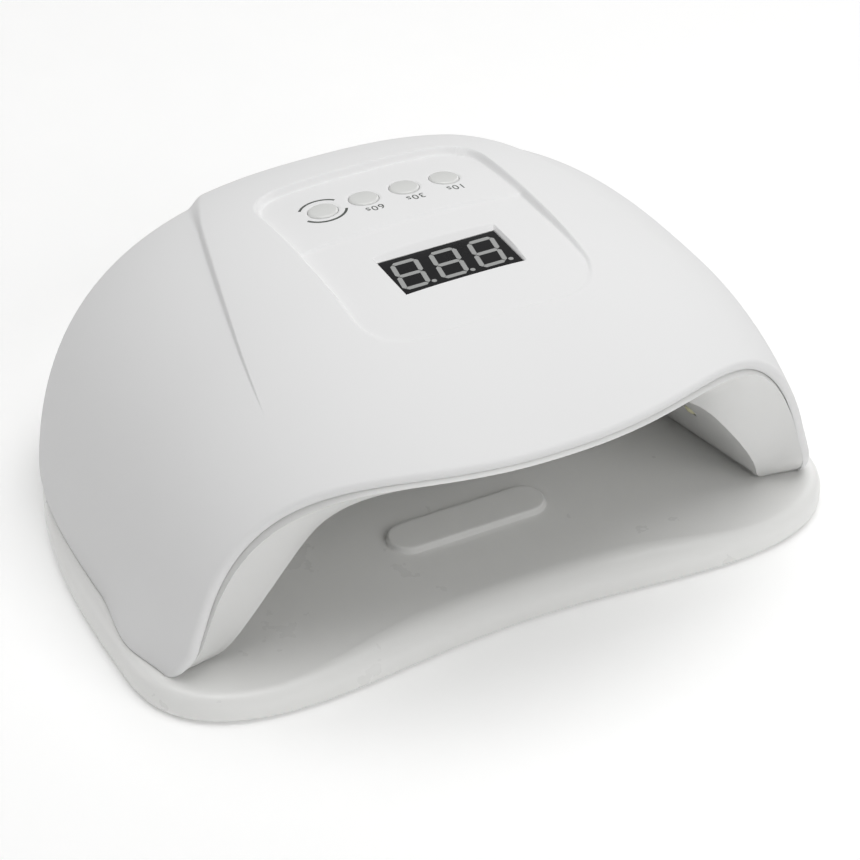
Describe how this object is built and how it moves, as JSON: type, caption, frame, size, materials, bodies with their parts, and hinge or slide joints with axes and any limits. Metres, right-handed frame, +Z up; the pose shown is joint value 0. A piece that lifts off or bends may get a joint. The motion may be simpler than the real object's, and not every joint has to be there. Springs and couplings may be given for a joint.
{
  "type": "nail curing lamp",
  "caption": "Domed table-top UV LED nail curing lamp with an open hand cavity, a recessed button and digit panel, and a removable magnetic base tray.",
  "frame": {"origin": "centre of the bounding box, on the table under the rubber feet", "axes": "+Z up, -Y towards the user and the hand opening, +X to the user's right"},
  "size_m": [0.2294, 0.2011, 0.1009],
  "materials": {
    "board_green": "green solder mask",
    "button_white": "semi-gloss moulded ABS",
    "capacitor_can": "aluminium can",
    "chip_black": "moulded epoxy",
    "connector_cream": "nylon header",
    "display_black": "satin black module face",
    "ferrite_black": "ferrite core",
    "inlet_black": "moulded black plastic",
    "inner_white": "satin moulded ABS, white",
    "led_board_white": "white solder mask on an aluminium board",
    "led_lens": "clear moulded lens over a yellowish die",
    "magnet_nickel": "nickel plating",
    "plunger_black": "moulded black plastic",
    "rubber_grey": "matt silicone rubber",
    "screw_steel": "zinc-plated steel",
    "segment_grey": "translucent light grey segments, unlit",
    "sensor_clear": "clear epoxy lens",
    "sensor_dark": "dark infrared epoxy",
    "shell_white": "glossy injection-moulded ABS, pure white",
    "switch_steel": "stamped steel cover",
    "tinned_pin": "tin plating",
    "tray_white": "satin-gloss moulded ABS, slightly warm white"
  },
  "bodies": {
    "base": {"base_tray": "tray_white", "tray_bottom_plate": "inner_white", "tray_feet": "rubber_grey", "tray_magnets": "magnet_nickel", "tray_screws": "screw_steel"},
    "housing": {"board_capacitors": "capacitor_can", "board_chips": "chip_black", "board_connectors": "connector_cream", "board_inductor": "ferrite_black", "board_screws": "screw_steel", "control_board": "board_green", "display_housing": "display_black", "display_pins": "tinned_pin", "display_segments": "segment_grey", "housing_feet": "rubber_grey", "housing_magnets": "magnet_nickel", "inner_shell": "inner_white", "led_beads_left_lower": "led_lens", "led_beads_left_upper": "led_lens", "led_beads_right_lower": "led_lens", "led_beads_right_upper": "led_lens", "led_beads_top": "led_lens", "led_board_left_lower": "led_board_white", "led_board_left_upper": "led_board_white", "led_board_right_lower": "led_board_white", "led_board_right_upper": "led_board_white", "led_board_screws": "screw_steel", "led_board_top": "led_board_white", "power_inlet": "inlet_black", "power_inlet_pin": "tinned_pin", "push_switches": "switch_steel", "sensor_board": "board_green", "sensor_emitter": "sensor_clear", "sensor_receiver": "sensor_dark", "shell_screws": "screw_steel", "top_shell": "shell_white"},
    "low_heat_button": {"button_cap_low_heat": "button_white", "switch_plunger_low_heat": "plunger_black"},
    "sixty_second_button": {"button_cap_60": "button_white", "switch_plunger_60": "plunger_black"},
    "thirty_second_button": {"button_cap_30": "button_white", "switch_plunger_30": "plunger_black"},
    "ten_second_button": {"button_cap_10": "button_white", "switch_plunger_10": "plunger_black"}
  },
  "joints": [
    {"name": "housing_lift", "type": "slide", "parent": "base", "child": "housing", "axis": [0, 0, 1], "range_m": [0, 0.13]},
    {"name": "low_heat_button_press", "type": "slide", "parent": "housing", "child": "low_heat_button", "axis": [0, 0, 1], "range_m": [-0.0006, 0], "stiffness_N_per_m": 900, "springref_m": 0.0003},
    {"name": "sixty_second_button_press", "type": "slide", "parent": "housing", "child": "sixty_second_button", "axis": [0, 0, 1], "range_m": [-0.0006, 0], "stiffness_N_per_m": 900, "springref_m": 0.0003},
    {"name": "thirty_second_button_press", "type": "slide", "parent": "housing", "child": "thirty_second_button", "axis": [0, 0, 1], "range_m": [-0.0006, 0], "stiffness_N_per_m": 900, "springref_m": 0.0003},
    {"name": "ten_second_button_press", "type": "slide", "parent": "housing", "child": "ten_second_button", "axis": [0, 0, 1], "range_m": [-0.0006, 0], "stiffness_N_per_m": 900, "springref_m": 0.0003}
  ]
}
